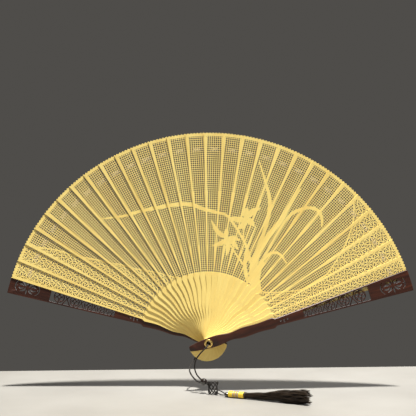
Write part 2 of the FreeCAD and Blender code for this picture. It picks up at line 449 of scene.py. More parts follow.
def bamboo_finish():
    """Golden bamboo with fine fibres along each stick."""
    material, tree, shader = finish("stick_bamboo", Roughness=0.42)
    shader.inputs["Specular IOR Level"].default_value = 0.42
    fibres = speckle(tree, place_on(tree, "UV", (2600, 60, 1), "grain"), 1.0, 4.0, 0.6)
    drift = speckle(tree, place_on(tree, "UV", (90, 9, 1), "grain"), 1.0, 2.0, 0.5)
    pores = speckle(tree, place_on(tree, "UV", (5200, 420, 1), "grain"), 1.0, 2.0, 0.5)
    base = ramp(tree, drift, ((0.25, (0.84, 0.62, 0.19)), (0.55, (0.91, 0.71, 0.235)),
                              (0.8, (0.95, 0.77, 0.28))))
    streaks = ramp(tree, fibres, ((0.3, (0.86, 0.84, 0.78)), (0.6, (1.0, 1.0, 1.0))))
    colour = blended(tree, 0.8, base, streaks, "MULTIPLY")
    dots = ramp(tree, pores, ((0.3, (0.80, 0.74, 0.62)), (0.42, (1.0, 1.0, 1.0))))
    colour = blended(tree, 0.5, colour, dots, "MULTIPLY")
    tree.links.new(colour, shader.inputs["Base Color"])
    raise_surface(tree, shader, fibres, 0.04 * MM, 0.5)
    return material


def guard_finish():
    """Dark red-brown hardwood, oiled, with a fine straight grain."""
    material, tree, shader = finish("guard_wood", Roughness=0.42)
    shader.inputs["Specular IOR Level"].default_value = 0.35
    grain = speckle(tree, place_on(tree, "UV", (1500, 50, 400), "grain"), 1.0, 5.0, 0.6)
    bands = speckle(tree, place_on(tree, "UV", (220, 14, 60), "grain"), 1.0, 3.0, 0.5)
    base = ramp(tree, bands, ((0.3, (0.024, 0.0068, 0.0038)),
                              (0.55, (0.052, 0.0135, 0.0066)),
                              (0.75, (0.100, 0.026, 0.0105))))
    dark = ramp(tree, grain, ((0.35, (0.45, 0.42, 0.40)), (0.6, (1.0, 1.0, 1.0))))
    colour = blended(tree, 0.8, base, dark, "MULTIPLY")
    tree.links.new(colour, shader.inputs["Base Color"])
    raise_surface(tree, shader, grain, 0.05 * MM, 0.5)
    return material


def brass_finish(name, colour=(0.86, 0.60, 0.20), roughness=0.22):
    material, tree, shader = finish(name, Metallic=1.0, Roughness=roughness)
    stains = speckle(tree, place_on(tree, "Object"), 420.0, 3.0)
    darker = tuple(0.72 * channel for channel in colour)
    tint = ramp(tree, stains, ((0.35, darker), (0.6, colour)))
    tree.links.new(tint, shader.inputs["Base Color"])
    wear = out(add(tree, "ShaderNodeMapRange",
                   {"Value": speckle(tree, place_on(tree, "Object"), 1500.0),
                    "To Min": roughness - 0.07, "To Max": roughness + 0.16}))
    tree.links.new(wear, shader.inputs["Roughness"])
    raise_surface(tree, shader, stains, 0.03 * MM, 0.3)
    return material


def thread_finish(name, colour, shine=0.3, roughness=0.55, scale=2400.0):
    """Dyed thread or cord with fine fibres and a soft sheen."""
    material, tree, shader = finish(name, Roughness=roughness)
    shader.inputs["Sheen Weight"].default_value = shine
    shader.inputs["Sheen Roughness"].default_value = 0.4
    shader.inputs["Specular IOR Level"].default_value = 0.22
    fibres = speckle(tree, place_on(tree, "Object"), scale, 3.0, 0.6)
    darker = tuple(0.5 * channel for channel in colour)
    lighter = tuple(min(1.0, 1.3 * channel) for channel in colour)
    tint = ramp(tree, fibres, ((0.3, darker), (0.5, colour), (0.72, lighter)))
    tree.links.new(tint, shader.inputs["Base Color"])
    raise_surface(tree, shader, fibres, 0.05 * MM, 0.5)
    return material


def bead_finish():
    """Polished, nearly black wood or horn."""
    material, tree, shader = finish("bead_black", Roughness=0.16)
    shader.inputs["Coat Weight"].default_value = 1.0
    shader.inputs["Coat Roughness"].default_value = 0.06
    veins = speckle(tree, place_on(tree, "Object", (1, 1, 3)), 260.0, 4.0)
    tint = ramp(tree, veins, ((0.35, (0.004, 0.003, 0.003)), (0.7, (0.016, 0.009, 0.006))))
    tree.links.new(tint, shader.inputs["Base Color"])
    return material


def gold_thread_finish():
    """Metal-wrapped thread: bright, with a break at each turn of its foil."""
    material, tree, shader = finish("collar_gold", Metallic=0.55, Roughness=0.34)
    foil = speckle(tree, place_on(tree, "Object"), 1900.0, 2.0, 0.6)
    tint = ramp(tree, foil, ((0.3, (0.56, 0.34, 0.02)), (0.5, (0.93, 0.66, 0.05)),
                             (0.72, (1.0, 0.86, 0.22))))
    tree.links.new(tint, shader.inputs["Base Color"])
    raise_surface(tree, shader, foil, 0.04 * MM, 0.5)
    return material


FINISH = {
    "stick_bamboo": bamboo_finish(),
    "guard_wood": guard_finish(),
    "eyelet_brass": brass_finish("eyelet_brass"),
    "link_thread": thread_finish("link_thread", (0.86, 0.68, 0.36), 0.2, 0.6),
    "cord_black": thread_finish("cord_black", (0.011, 0.008, 0.006), 0.15, 0.45),
    "bead_black": bead_finish(),
    "collar_gold": gold_thread_finish(),
    "winding_blue": thread_finish("winding_blue", (0.006, 0.045, 0.36), 0.0, 0.85),
    "winding_black": thread_finish("winding_black", (0.004, 0.004, 0.006), 0.0, 0.85),
    "tassel_black": thread_finish("tassel_black", (0.022, 0.0125, 0.0065), 0.1, 0.34, 900.0),
}


# ---- camera, light and floor --------------------------------------------------------
def place_camera():
    """Level, straight on, a little above the middle of the fan."""
    camera = bpy.data.cameras.new("camera")
    camera.sensor_width = 36.0
    camera.lens = 75.73
    camera.clip_start = 0.01
    viewer = link(bpy.data.objects.new("camera", camera))
    viewer.location = (1.16 * MM, -0.900, 137.45 * MM)
    viewer.rotation_euler = (math.radians(90), math.radians(0.65), 0)
    bpy.context.scene.camera = viewer


def lamp(name, kind, energy, place, target, size=0.5, colour=(1, 1, 1)):
    light = bpy.data.lights.new(name, kind)
    light.energy = energy
    light.color = colour
    if kind == "AREA":
        light.size = size
    else:
        light.angle = math.radians(size)
    holder = link(bpy.data.objects.new(name, light))
    holder.location = place
    holder.rotation_euler = (Vector(target) - Vector(place)).to_track_quat(
        "-Z", "Y").to_euler()


def light_studio():
    middle = (0, 0, 0.09)
    lamp("key", "SUN", 10.6, (0.12, -0.22, 1.09), middle, 4.0, (1.0, 0.985, 0.93))
    lamp("front_fill", "AREA", 2.0, (-0.25, -1.5, 0.75), middle, 1.4, (1.0, 0.98, 0.95))
    lamp("side_glow", "AREA", 0.8, (1.2, -0.5, 0.35), middle, 0.8, (1.0, 0.95, 0.88))
    lamp("back_fill", "AREA", 7.5, (0.3, 1.5, 0.7), middle, 1.4, (1.0, 0.98, 0.95))
    world = bpy.data.worlds.new("studio")
    world.use_nodes = True
    world.node_tree.nodes["Background"].inputs[0].default_value = (0.078, 0.074, 0.068, 1)
    world.node_tree.nodes["Background"].inputs[1].default_value = 1.0
    bpy.context.scene.world = world
    bpy.context.scene.view_settings.view_transform = "Standard"


def lay_floor():
    """A plain pale board under the fan."""
    shape = bmesh.new()
    corners = ((-0.45, -0.40), (0.45, -0.40), (0.45, 0.12), (-0.45, 0.12))
    shape.faces.new([shape.verts.new((x, y, table_level)) for x, y in corners])
    floor = link(bpy.data.objects.new("floor", mesh_of("floor", shape)))
    material, tree, shader = finish("floor_board", Roughness=0.6)
    tone = speckle(tree, place_on(tree, "Object"), 14.0)
    tint = ramp(tree, tone, ((0.3, (0.20, 0.19, 0.175)), (0.7, (0.23, 0.22, 0.205))))
    tree.links.new(tint, shader.inputs["Base Color"])
    floor.data.materials.append(material)


# ---- the cord -----------------------------------------------------------------------
# The cord runs through the eyelet and both of its legs go down to the crown bead.
front_leg_route = (
    (0.0, 0.0, -0.0011), (0.00015, -0.0046, -0.0012), (0.0, -0.0094, -0.00105),
    (-0.0003, -0.0143, -0.0013), (-0.0034, -0.0166, -0.0044),
    (-0.0085, -0.0168, -0.0093), (-0.0130, -0.0167, -0.0152),
    (-0.0146, -0.0166, -0.0222), (-0.0132, -0.0167, -0.0290),
    (-0.0096, -0.0166, -0.0342), (-0.0066, -0.0165, -0.0364),
)
back_leg_route = (
    (0.0, 0.0, -0.0011), (-0.00015, 0.0046, -0.0012), (0.0, 0.0094, -0.00105),
    (-0.0004, 0.0143, -0.0014), (-0.0032, 0.0166, -0.0048),
    (-0.0078, 0.0166, -0.0112), (-0.0132, 0.0140, -0.0182),
    (-0.0180, 0.0080, -0.0240), (-0.0202, 0.0002, -0.0290),
    (-0.0180, -0.0060, -0.0326), (-0.0148, -0.0105, -0.0358),
    (-0.0106, -0.0140, -0.0389), (-0.0069, -0.0160, -0.0388),
)


def route_curve(name, route):
    """The smooth line of a cord: a NURBS spline with the route as its control points."""
    curve = bpy.data.curves.new(name, "CURVE")
    curve.dimensions = "3D"
    curve.resolution_u = 10
    spline = curve.splines.new("NURBS")
    spline.points.add(len(route) - 1)
    for point, place in zip(spline.points, route):
        point.co = (*place, 1)
    spline.order_u = 3
    spline.use_endpoint_u = True
    return curve


def route_points(name, route):
    """Points along the smooth line, in order."""
    guide = link(bpy.data.objects.new(name, route_curve(name, route)))
    graph = bpy.context.evaluated_depsgraph_get()
    mesh = bpy.data.meshes.new_from_object(guide.evaluated_get(graph))
    points = [vertex.co.copy() for vertex in mesh.vertices]
    bpy.data.objects.remove(guide)
    return points


def line_length(points):
    return sum((after - before).length for before, after in zip(points, points[1:]))


def strand_mesh(points):
    """A bare line of edges, for a tree to follow."""
    mesh = bpy.data.meshes.new("line")
    mesh.from_pydata([tuple(point) for point in points],
                     [(index, index + 1) for index in range(len(points) - 1)], [])
    return mesh


def twisted_cord_tree():
    """A three-lobed section carried along a line and twisted: a laid cord."""
    tree, given = new_tree("twisted_cord", Line="Geometry", Radius="Float",
                           Step="Float", Twist="Float", Material="Material")
    line = out(add(tree, "GeometryNodeMeshToCurve", {"Mesh": given["Line"]}))
    even = out(add(tree, "GeometryNodeResampleCurve",
                   {"Curve": line, "Length": given["Step"]}, mode="LENGTH"))
    along = out(add(tree, "GeometryNodeSplineParameter"), "Length")
    tilt = calc(tree, "MULTIPLY", along, given["Twist"])
    tilted = out(add(tree, "GeometryNodeSetCurveTilt", {"Curve": even, "Tilt": tilt}))
    ring = out(add(tree, "GeometryNodeCurvePrimitiveCircle",
                   {"Resolution": 18, "Radius": given["Radius"]}))
    index = out(add(tree, "GeometryNodeInputIndex"))
    lobe = calc(tree, "COSINE", calc(tree, "MULTIPLY", index, math.tau / 6))
    grow_out = calc(tree, "ADD", calc(tree, "MULTIPLY", lobe, 0.11), 0.90)
    place = out(add(tree, "GeometryNodeInputPosition"))
    scaled = out(add(tree, "ShaderNodeVectorMath", {0: place, "Scale": grow_out},
                     operation="SCALE"))
    section = out(add(tree, "GeometryNodeSetPosition",
                      {"Geometry": ring, "Position": scaled}))
    tube = out(add(tree, "GeometryNodeCurveToMesh",
                   {"Curve": tilted, "Profile Curve": section, "Fill Caps": True}))
    return close_tree(tree, tube, given["Material"])


TWISTED_CORD = twisted_cord_tree()


def twisted(points, radius, material):
    """A laid cord along these points."""
    turn = math.tau / (cord_lay * 2 * radius)
    return grow(TWISTED_CORD, strand_mesh(points), Radius=radius, Step=radius * 0.55,
                Twist=turn, Material=material)


def make_cord():
    """Both legs of the cord; gives the pieces with their lines."""
    legs = []
    for node, route in (("loop_cord_front", front_leg_route),
                        ("loop_cord_back", back_leg_route)):
        points = route_points(node + "_line", route)
        mesh = twisted(points, cord_diameter / 2, FINISH["cord_black"])
        piece = finished(node + "_laid", mesh, "pivot", (node,), 180)
        legs.append((piece, points))
    return legs


# ---- the sticks ---------------------------------------------------------------------
def corner_boundaries():
    """The two lines that part the fine grid from the scroll corners, in the open fan."""
    left = ((-193, 101.5), (-186.5, 100.5), (-155.4, 95.3), (-137.8, 89.6),
            (-113.4, 84.9), (-102.5, 81.8), (-89, 79.7), (-78.6, 76.1), (-64.1, 73.6),
            (-51.6, 71.1), (-39.2, 67.6), (-28.9, 65.5))
    right = ((156, 152), (150.8, 146.7), (149.2, 123.1), (145.1, 109.3), (139.7, 96.4),
             (134.4, 87.2), (126.7, 75.6), (120.6, 68.1), (107.7, 59.6), (94.4, 53.1),
             (85.8, 51.8), (78.7, 51.3), (70.2, 50.6), (58.7, 50.8), (52.1, 53.1))
    return [[Vector(point) * MM for point in line] for line in (left, right)]


def corner_solids():
    """Solids that cover the scroll corners, out past the edges of the fan."""
    left, right = corner_boundaries()
    far = 260 * MM
    left_area = smooth_line(left, 5) + [Vector((-28 * MM, 0)), Vector((-far, 0)),
                                        Vector((-far, left[0].y + 3 * MM))]
    right_area = smooth_line(right, 5) + [Vector((45 * MM, 0)), Vector((far, 0)),
                                          Vector((far, 150 * MM))]
    return [prism("corner", area, 4 * MM) for area in (left_area, right_area)]


def orchid_leaves():
    """The long leaves: their middle lines, base first, and their widths on the way."""
    return (
        (((47, 58), (43, 88), (35, 108), (21.6, 128.3), (10.3, 132.7), (-3.1, 136.4),
          (-15.4, 141), (-28.8, 141.6), (-42.3, 139.9), (-68.2, 135.1), (-84.2, 130.6),
          (-100.3, 128.5), (-112.5, 127)), (2.6, 2.4, 3.0, 4.0, 4.2, 3.8, 2.4, 1.1)),
        (((44, 62), (45.6, 80.6), (49.7, 91), (53, 99.2), (57.5, 110), (62.4, 126),
          (64.6, 139.9), (63.6, 151.2), (59.5, 166.6), (54.2, 185)),
         (4.2, 4.0, 3.8, 4.2, 3.4, 1.2)),
        (((47, 58), (48.5, 76), (52, 90), (58, 101.5), (65, 111), (71.5, 119),
          (78, 127.5), (84, 137), (96.4, 156.4)), (5.0, 5.0, 5.6, 5.6, 4.8, 3.2, 1.4)),
        (((51, 60), (55.5, 80), (61.5, 93), (68, 104.5), (75, 115.5), (81.5, 125),
          (88, 131.4), (96, 134.8), (104.9, 136.5), (113.1, 133.8), (117.2, 126.0),
          (117.2, 116.3)), (2.8, 2.6, 2.6, 3.0, 3.6, 3.2, 3.8, 1.4)),
        (((48, 66), (54, 80), (60, 87), (66.4, 90.9), (73.5, 89.8), (77.2, 85.5),
          (81.0, 79.7)), (3.0, 3.0, 3.0, 2.6, 1.2)),
        (((42, 60), (38.5, 74), (39.5, 90), (44, 104), (50, 118)), (4.4, 3.6, 2.6, 1.0)),
        (((49, 50), (48.6, 64), (47.5, 80)), (13.0, 9.0, 3.0)),
    )


def orchid_flowers():
    """Two open flowers and a bud: petals from a heart to their tips, and the stems."""
    flowers = (
        ((40.0, 126.0), ((41.7, 138.0), (55.5, 137.2), (23.0, 127.8), (32.5, 115.5),
                         (48.5, 117.5)), 6.6),
        ((20.1, 105.6), ((4.4, 124.9), (21.1, 117.5), (4.4, 98.7), (19.1, 87.9),
                         (31.9, 93.9), (33.9, 104.0)), 5.2),
    )
    petals = []
    for heart, tips, width in flowers:
        heart = Vector(heart)
        for tip in tips:
            tip = Vector(tip)
            reach = tip - heart
            side = Vector((-reach.y, reach.x)).normalized()
            middle = heart + reach * 0.5 + side * reach.length * 0.10
            petals.append(((heart, middle, tip), (1.8, width, width * 0.8, 0.7)))
    stems = (
        (((40.0, 126.0), (37.0, 108.6), (39.5, 98.0), (43, 82)), (1.8, 1.6, 2.2)),
        (((20.1, 105.6), (25.1, 96.8), (29.9, 88.9), (38.9, 76.0)), (1.6, 1.6, 2.2)),
    )
    return tuple(petals) + stems


def motif_solids():
    """Everything that stays solid in the pierced field: the orchid and two bands."""
    shapes = []
    for line, widths in orchid_leaves() + orchid_flowers():
        spine = smooth_line([Vector(point) * MM for point in line], 7)
        shapes.append(ribbon(spine, [width * MM for width in widths]))
    for boundary in corner_boundaries():
        shapes.append(ribbon(smooth_line(boundary, 5), (border_width, border_width)))
    for heart in ((40.0, 126.0), (20.1, 105.6)):
        shapes.append(arc((heart[0] * MM, heart[1] * MM), 2.4 * MM, 0, 337.5, 15))
    return [prism("motif", shape, 6 * MM) for shape in shapes]


def field_solid():
    """The wedge of a stick that is pierced, between its two solid borders."""
    slope = math.tan(field_half_angle)
    low = (field_start * slope, field_start)
    high = (field_end * slope, field_end)
    rim = arc((0, 0), field_end, 90 - math.degrees(field_half_angle),
              2 * math.degrees(field_half_angle), 8)
    outline = [Vector((-low[0], low[1])), Vector(low), *rim]
    outline = [point for point in outline if point.y <= high[1] + 1 * MM]
    return prism("field", outline, 5 * MM)


def slot_along(line, width):
    """A slot cutter of even width along a line."""
    return prism("slot", ribbon(line, (width, width)), 3 * MM)


def curl(centre, start, sweep=88):
    """One arm of a scroll: a slot that winds outwards round the centre."""
    line = []
    for step in range(9):
        share = step / 8
        angle = math.radians(start + sweep * share)
        radius = (1.75 + 0.6 * share) * MM
        line.append(Vector((centre[0] + radius * math.cos(angle),
                            centre[1] + radius * math.sin(angle))))
    return slot_along(line, 1.05 * MM)


def cross_outline(centre, arm, width):
    """The outline of an upright cross."""
    outline = []
    for turn in range(4):
        turned = Matrix.Rotation(math.radians(90 * turn), 2)
        for corner in ((width / 2, width / 2), (arm, width / 2), (arm, -width / 2)):
            outline.append(Vector(centre) + turned @ Vector(corner))
    return outline[::-1]


def scroll_solids():
    """Cutters of four scrolls, each with an eye and three arms, and crosses between."""
    cutters = []
    half = scroll_tile / 2
    for number, (x, z) in enumerate(((-half, -half), (half, -half), (half, half),
                                     (-half, half))):
        cutters.append(prism("eye", arc((x, z), 0.62 * MM, 0, 330, 11), 3 * MM))
        for arm in range(3):
            cutters.append(curl((x, z), 15 + 90 * number + 120 * arm))
        cutters.append(prism("cross", cross_outline((x + half, z + half), 1.65 * MM,
                                                    0.95 * MM), 3 * MM))
    return cutters


def pierced_stick_tree():
    """Pierces a stick: a grid of square holes round the motif, and the scroll corners."""
    tree, given = new_tree(
        "pierced_stick", Blank="Geometry", Motif="Collection", Corners="Collection",
        Scroll="Collection", Field="Collection", Lean="Float", Layer="Float",
        Grain_Offset="Float", Hole_Size="Float", Hole_Pitch="Float", Columns="Int",
        Rows="Int", First_Row="Float", Field_Slope="Float", Tile="Float",
        Tile_Rows="Int", Rim="Float", Scallop_Step="Float", Scallop_Count="Int",
        Scallop_Radius="Float", Scallop_Depth="Float", Material="Material")
    depth = 3 * MM
    pitch = given["Hole_Pitch"]

    def upright_grid(columns, rows, step):
        """Points in even rows and columns, up from the first row."""
        width = calc(tree, "MULTIPLY", calc(tree, "SUBTRACT", columns, 1.0), step)
        height = calc(tree, "MULTIPLY", calc(tree, "SUBTRACT", rows, 1.0), step)
        flat = out(add(tree, "GeometryNodeMeshGrid",
                       {"Size X": width, "Size Y": height, "Vertices X": columns,
                        "Vertices Y": rows}))
        lift = calc(tree, "ADD", given["First_Row"], calc(tree, "MULTIPLY", height, 0.5))
        return moved(tree, flat, vector(tree, z=lift), (math.pi / 2, 0, 0))

    # A grid of square cutters, kept where some of a hole lies between the borders.
    grid = upright_grid(given["Columns"], given["Rows"], pitch)
    place = add(tree, "ShaderNodeSeparateXYZ",
                {0: out(add(tree, "GeometryNodeInputPosition"))})
    across = calc(tree, "ABSOLUTE", out(place, "X"))
    border = calc(tree, "ADD",
                  calc(tree, "MULTIPLY", out(place, "Z"), given["Field_Slope"]),
                  calc(tree, "MULTIPLY", given["Hole_Size"], 0.3))
    outside = out(add(tree, "FunctionNodeCompare", {"A": across, "B": border},
                      data_type="FLOAT", operation="GREATER_THAN"))
    grid = out(add(tree, "GeometryNodeDeleteGeometry",
                   {"Geometry": grid, "Selection": outside}, domain="POINT"))
    square = out(add(tree, "GeometryNodeMeshCube",
                     {"Size": vector(tree, given["Hole_Size"], depth,
                                     given["Hole_Size"])}))
    squares = out(add(tree, "GeometryNodeRealizeInstances",
                      {0: copies(tree, grid, square)}))

    # Scrolls side by side, two on each side of the middle.
    places = upright_grid(2, given["Tile_Rows"], given["Tile"])
    scrolls = out(add(tree, "GeometryNodeRealizeInstances",
                      {0: copies(tree, places, solids(tree, given["Scroll"]))}))

    # The motif and the corners are drawn in the open fan, so they are turned back.
    back = vector(tree, y=calc(tree, "MULTIPLY", given["Lean"], -1.0))
    motif = moved(tree, boolean(tree, "UNION", solids(tree, given["Motif"]), []),
                  rotation=back)
    corners = moved(tree, boolean(tree, "UNION", solids(tree, given["Corners"]), []),
                    rotation=back)
    field = boolean(tree, "UNION", solids(tree, given["Field"]), [])
    squares = boolean(tree, "INTERSECT", squares, field)
    squares = boolean(tree, "DIFFERENCE", squares, [motif, corners])
    scrolls = boolean(tree, "INTERSECT", scrolls, [field, corners])
    scrolls = boolean(tree, "DIFFERENCE", scrolls, motif)

    # Scallops along the rim.
    rim_line = out(add(tree, "GeometryNodeMeshLine", {"Count": given["Scallop_Count"]},
                       mode="OFFSET"))
    index = out(add(tree, "GeometryNodeInputIndex"))
    from_middle = calc(tree, "SUBTRACT", index,
                       calc(tree, "MULTIPLY",
                            calc(tree, "SUBTRACT", given["Scallop_Count"], 1.0), 0.5))
    angle = calc(tree, "MULTIPLY", from_middle, given["Scallop_Step"])
    ring = calc(tree, "ADD", given["Rim"],
                calc(tree, "SUBTRACT", given["Scallop_Radius"], given["Scallop_Depth"]))
    rim_line = out(add(tree, "GeometryNodeSetPosition", {
        "Geometry": rim_line,
        "Position": vector(tree, calc(tree, "MULTIPLY", ring, calc(tree, "SINE", angle)),
                           0.0,
                           calc(tree, "MULTIPLY", ring,
                                calc(tree, "COSINE", angle)))}))
    bite = out(add(tree, "GeometryNodeMeshCylinder",
                   {"Vertices": 16, "Radius": given["Scallop_Radius"],
                    "Depth": depth}))
    bite = moved(tree, bite, rotation=(math.pi / 2, 0, 0))
    bites = copies(tree, rim_line, bite)

    cut = boolean(tree, "DIFFERENCE", given["Blank"], [squares, scrolls, bites])

    # The grain runs along the stick and starts elsewhere on each one.
    return close_tree(tree, *grained(tree, cut, given))


def slice_faces(shape, low):
    """Cuts the faces between the rows and columns of holes, which keeps them small."""
    levels = [(low + row * hole_pitch, (0, 0, 1)) for row in range(hole_rows + 2)]
    uprights = [((column + 0.5) * hole_pitch, (1, 0, 0)) for column in range(-4, 4)]
    for distance, normal in levels + uprights:
        bmesh.ops.bisect_plane(shape, dist=1e-7, plane_co=Vector(normal) * distance,
                               geom=shape.verts[:] + shape.edges[:] + shape.faces[:],
                               plane_no=normal)


def upright_blank(node, bevel, slice_from=None):
    """A plate's own outline, turned upright, with its sharp edges eased."""
    shape = cad_copy(node)
    bmesh.ops.transform(shape, matrix=upright_to_place(node).inverted(),
                        verts=shape.verts[:])
    bmesh.ops.dissolve_limit(shape, angle_limit=math.radians(0.5), verts=shape.verts[:],
                             edges=shape.edges[:])
    sharp = [edge for edge in shape.edges
             if edge.is_manifold and edge.calc_face_angle(0) > math.radians(60)]
    bmesh.ops.bevel(shape, geom=sharp, offset=bevel, offset_type="OFFSET", segments=1,
                    affect="EDGES", profile=0.5)
    if slice_from is not None:
        slice_faces(shape, slice_from)
    bmesh.ops.triangulate(shape, faces=[face for face in shape.faces
                                        if len(face.verts) > 4])
    return mesh_of(node + "_blank", shape)


def make_sticks():
    tree = pierced_stick_tree()
    blank = upright_blank(UPRIGHT_STICK, 0.09 * MM, field_start + hole_pitch * 0.1)
    motif = bundle("motif", motif_solids())
    corners = bundle("corners", corner_solids())
    scroll = bundle("scroll", scroll_solids())
    field = bundle("field", [field_solid()])
    step = (LEAN[STICKS[-1]] - LEAN[STICKS[0]]) / (len(STICKS) - 1)
    scallop_step = step / scallops_per_step
    for number, node in enumerate(STICKS):
        mesh = grow(
            tree, blank.copy(), Motif=motif, Corners=corners, Scroll=scroll, Field=field,
            Lean=LEAN[node], Layer=layer(node), Grain_Offset=0.37 * number,
            Hole_Size=hole_size, Hole_Pitch=hole_pitch, Columns=hole_columns,
            Rows=hole_rows,
            First_Row=field_start + hole_pitch * 0.6,
            Field_Slope=math.tan(field_half_angle), Tile=2 * scroll_tile,
            Tile_Rows=scroll_rows,
            Rim=fan_radius, Scallop_Step=scallop_step,
            Scallop_Count=scallops_per_step + 3,
            Scallop_Radius=scallop_radius, Scallop_Depth=scallop_depth,
            Material=FINISH["stick_bamboo"])
        finished(node + "_pierced", mesh, node, (node,))
    for group in (motif, corners, scroll, field):
        discard(group)


# ---- the guards ---------------------------------------------------------------------
def bar(line, width, depth, closed=False, sides=8):
    """A rounded carved bar along a line in the XZ plane, closed into a ring or capped."""
    shape = bmesh.new()
    count = len(line)
    rings = []
    for index, point in enumerate(line):
        before = line[index - 1] if closed or index else line[0]
        after = line[(index + 1) % count] if closed or index < count - 1 else line[-1]
        heading = (after - before).normalized()
        side = Vector((-heading.y, heading.x))
        ring = []
        for step in range(sides):
            angle = math.tau * (step + 0.5) / sides
            place = point + side * (width / 2 * math.cos(angle))
            ring.append(shape.verts.new((place.x, depth / 2 * math.sin(angle), place.y)))
        rings.append(ring)
    pairs = list(zip(rings, rings[1:] + rings[:1]))
    for ring, next_ring in pairs if closed else pairs[:-1]:
        for step in range(sides):
            after = (step + 1) % sides
            shape.faces.new((ring[step], ring[after], next_ring[after],
                             next_ring[step]))
    if not closed:
        shape.faces.new(rings[0])
        shape.faces.new(rings[-1][::-1])
    return mesh_of("bar", shape)


def window(reach, rail, corner=1.6 * MM):
    """Cutter of a tapering window in a guard, with rounded and chamfered edges."""
    slope = math.tan(guard_half_angle)
    low, high = reach
    outline = []
    for hand, along, start in ((1, low, 270), (1, high, 0), (-1, high, 90),
                               (-1, low, 180)):
        inward = 1 if along == low else -1
        centre = (hand * (along * slope - rail - corner), along + inward * corner)
        outline += arc(centre, corner, start, 90, 4)
    return prism("window", outline, 6 * MM, 0.3 * MM, guard_thickness - 0.7 * MM)


def lattice_unit():
    """One ring with a flower in it and one cross, sized for the outermost place."""
    reach = lattice_first_ring
    half = reach * math.tan(guard_half_angle) - guard_rail
    period = reach * (1 - lattice_shrink)
    depth = guard_thickness * 0.72
    bars = [bar(arc((0, 0), half * 0.80, 0, 345, 23), bar_width, depth, True),
            bar(arc((0, 0), half * 0.26, 0, 330, 11), bar_width, depth, True)]
    for turn in (0, 90, 180, 270):
        angle = math.radians(turn)
        ray = Vector((math.cos(angle), math.sin(angle)))
        far = 1.12 if turn in (0, 180) else 0.82
        bars.append(bar([ray * half * 0.24, ray * half * far], bar_width, depth))
    for turn in (45, 135, 225, 315):
        start = Vector((math.cos(math.radians(turn - 24)),
                        math.sin(math.radians(turn - 24)))) * half * 0.28
        tip = Vector((math.cos(math.radians(turn)),
                      math.sin(math.radians(turn)))) * half * 0.80
        side = Vector((-tip.y, tip.x)).normalized() * half * 0.14
        bars.append(bar(smooth_line([start, (start + tip) / 2 - side, tip], 4),
                        bar_width * 0.8, depth))
    for hand in (1, -1):
        cross = [Vector((-hand * half * 1.08, -period / 2 + half * 0.62)),
                 Vector((0, -period / 2)),
                 Vector((hand * half * 0.92, -period / 2 - half * 0.62))]
        bars.append(bar(cross, bar_width, depth))
    return bars


def petal(line, *widths):
    """A leaf-shaped opening along a line."""
    spine = smooth_line([Vector(point) for point in line], 4)
    return prism("petal", ribbon(spine, widths), cutter_depth)


def dot(place, radius):
    """A small round opening."""
    return prism("dot", arc(place, radius, 0, 330, 11), cutter_depth)


def medallion_cutters():
    """Openings of the pierced medallion near the rim: crescents, petals and dots."""
    low, high = medallion_reach
    middle = (low + high) / 2
    point = 0.5 * MM
    cutters = []
    for end, face in ((low + 7.2 * MM, 270), (high - 7.2 * MM, 90)):
        line = arc((0, end), 7.0 * MM, face - 58, 116, 14)
        cutters.append(prism("crescent", ribbon(line, (point, 1.2 * MM, point)),
                             cutter_depth))
    for hand in (1, -1):
        for rise in (1, -1):
            line = ((hand * 1.0 * MM, middle + rise * 1.6 * MM),
                    (hand * 3.3 * MM, middle + rise * 3.0 * MM),
                    (hand * 5.4 * MM, middle + rise * 6.6 * MM))
            cutters.append(petal(line, point, 2.0 * MM, 2.0 * MM, point))
            line = ((hand * 0.9 * MM, middle + rise * 3.6 * MM),
                    (hand * 2.2 * MM, middle + rise * 6.4 * MM),
                    (hand * 1.4 * MM, middle + rise * 9.4 * MM))
            cutters.append(petal(line, point, 1.6 * MM, 1.5 * MM, point))
        line = ((hand * 2.6 * MM, middle), (hand * 4.8 * MM, middle + 0.4 * MM),
                (hand * 7.0 * MM, middle))
        cutters.append(petal(line, point, 2.0 * MM, 1.7 * MM, point))
    for rise in (1, -1):
        cutters.append(dot((0, middle + rise * 11.2 * MM), 0.6 * MM))
    low, high = small_holes_reach
    middle = (low + high) / 2
    for height in (low, middle, high):
        cutters.append(dot((0, height), 0.85 * MM))
    for hand in (1, -1):
        cutters.append(dot((hand * 1.9 * MM, middle), 0.6 * MM))
    return cutters


def carved_guard_tree():
    """Opens a guard's windows and fills the long one with rings and crosses."""
    tree, given = new_tree(
        "carved_guard", Blank="Geometry", Openings="Collection", Panel="Collection",
        Unit="Collection", Unit_Reach="Float", Unit_Shrink="Float", Unit_Count="Int",
        Lean="Float", Layer="Float", Grain_Offset="Float", Material="Material")
    line = out(add(tree, "GeometryNodeMeshLine", {"Count": given["Unit_Count"]},
                   mode="OFFSET"))
    size = calc(tree, "POWER", given["Unit_Shrink"],
                out(add(tree, "GeometryNodeInputIndex")))
    reach = calc(tree, "MULTIPLY", given["Unit_Reach"], size)
    line = out(add(tree, "GeometryNodeSetPosition",
                   {"Geometry": line, "Position": vector(tree, z=reach)}))
    unit = boolean(tree, "UNION", solids(tree, given["Unit"]), [])
    units = copies(tree, line, unit, Scale=vector(tree, size, 1.0, size))
    panel = boolean(tree, "UNION", solids(tree, given["Panel"]), [])
    openings = boolean(tree, "UNION", solids(tree, given["Openings"]), [])
    opened = boolean(tree, "DIFFERENCE", given["Blank"], [panel, openings])
    bars = boolean(tree, "UNION", units, [])
    kept = boolean(tree, "INTERSECT", bars, given["Blank"])
    carved = boolean(tree, "UNION", opened, kept)
    return close_tree(tree, *grained(tree, carved, given))


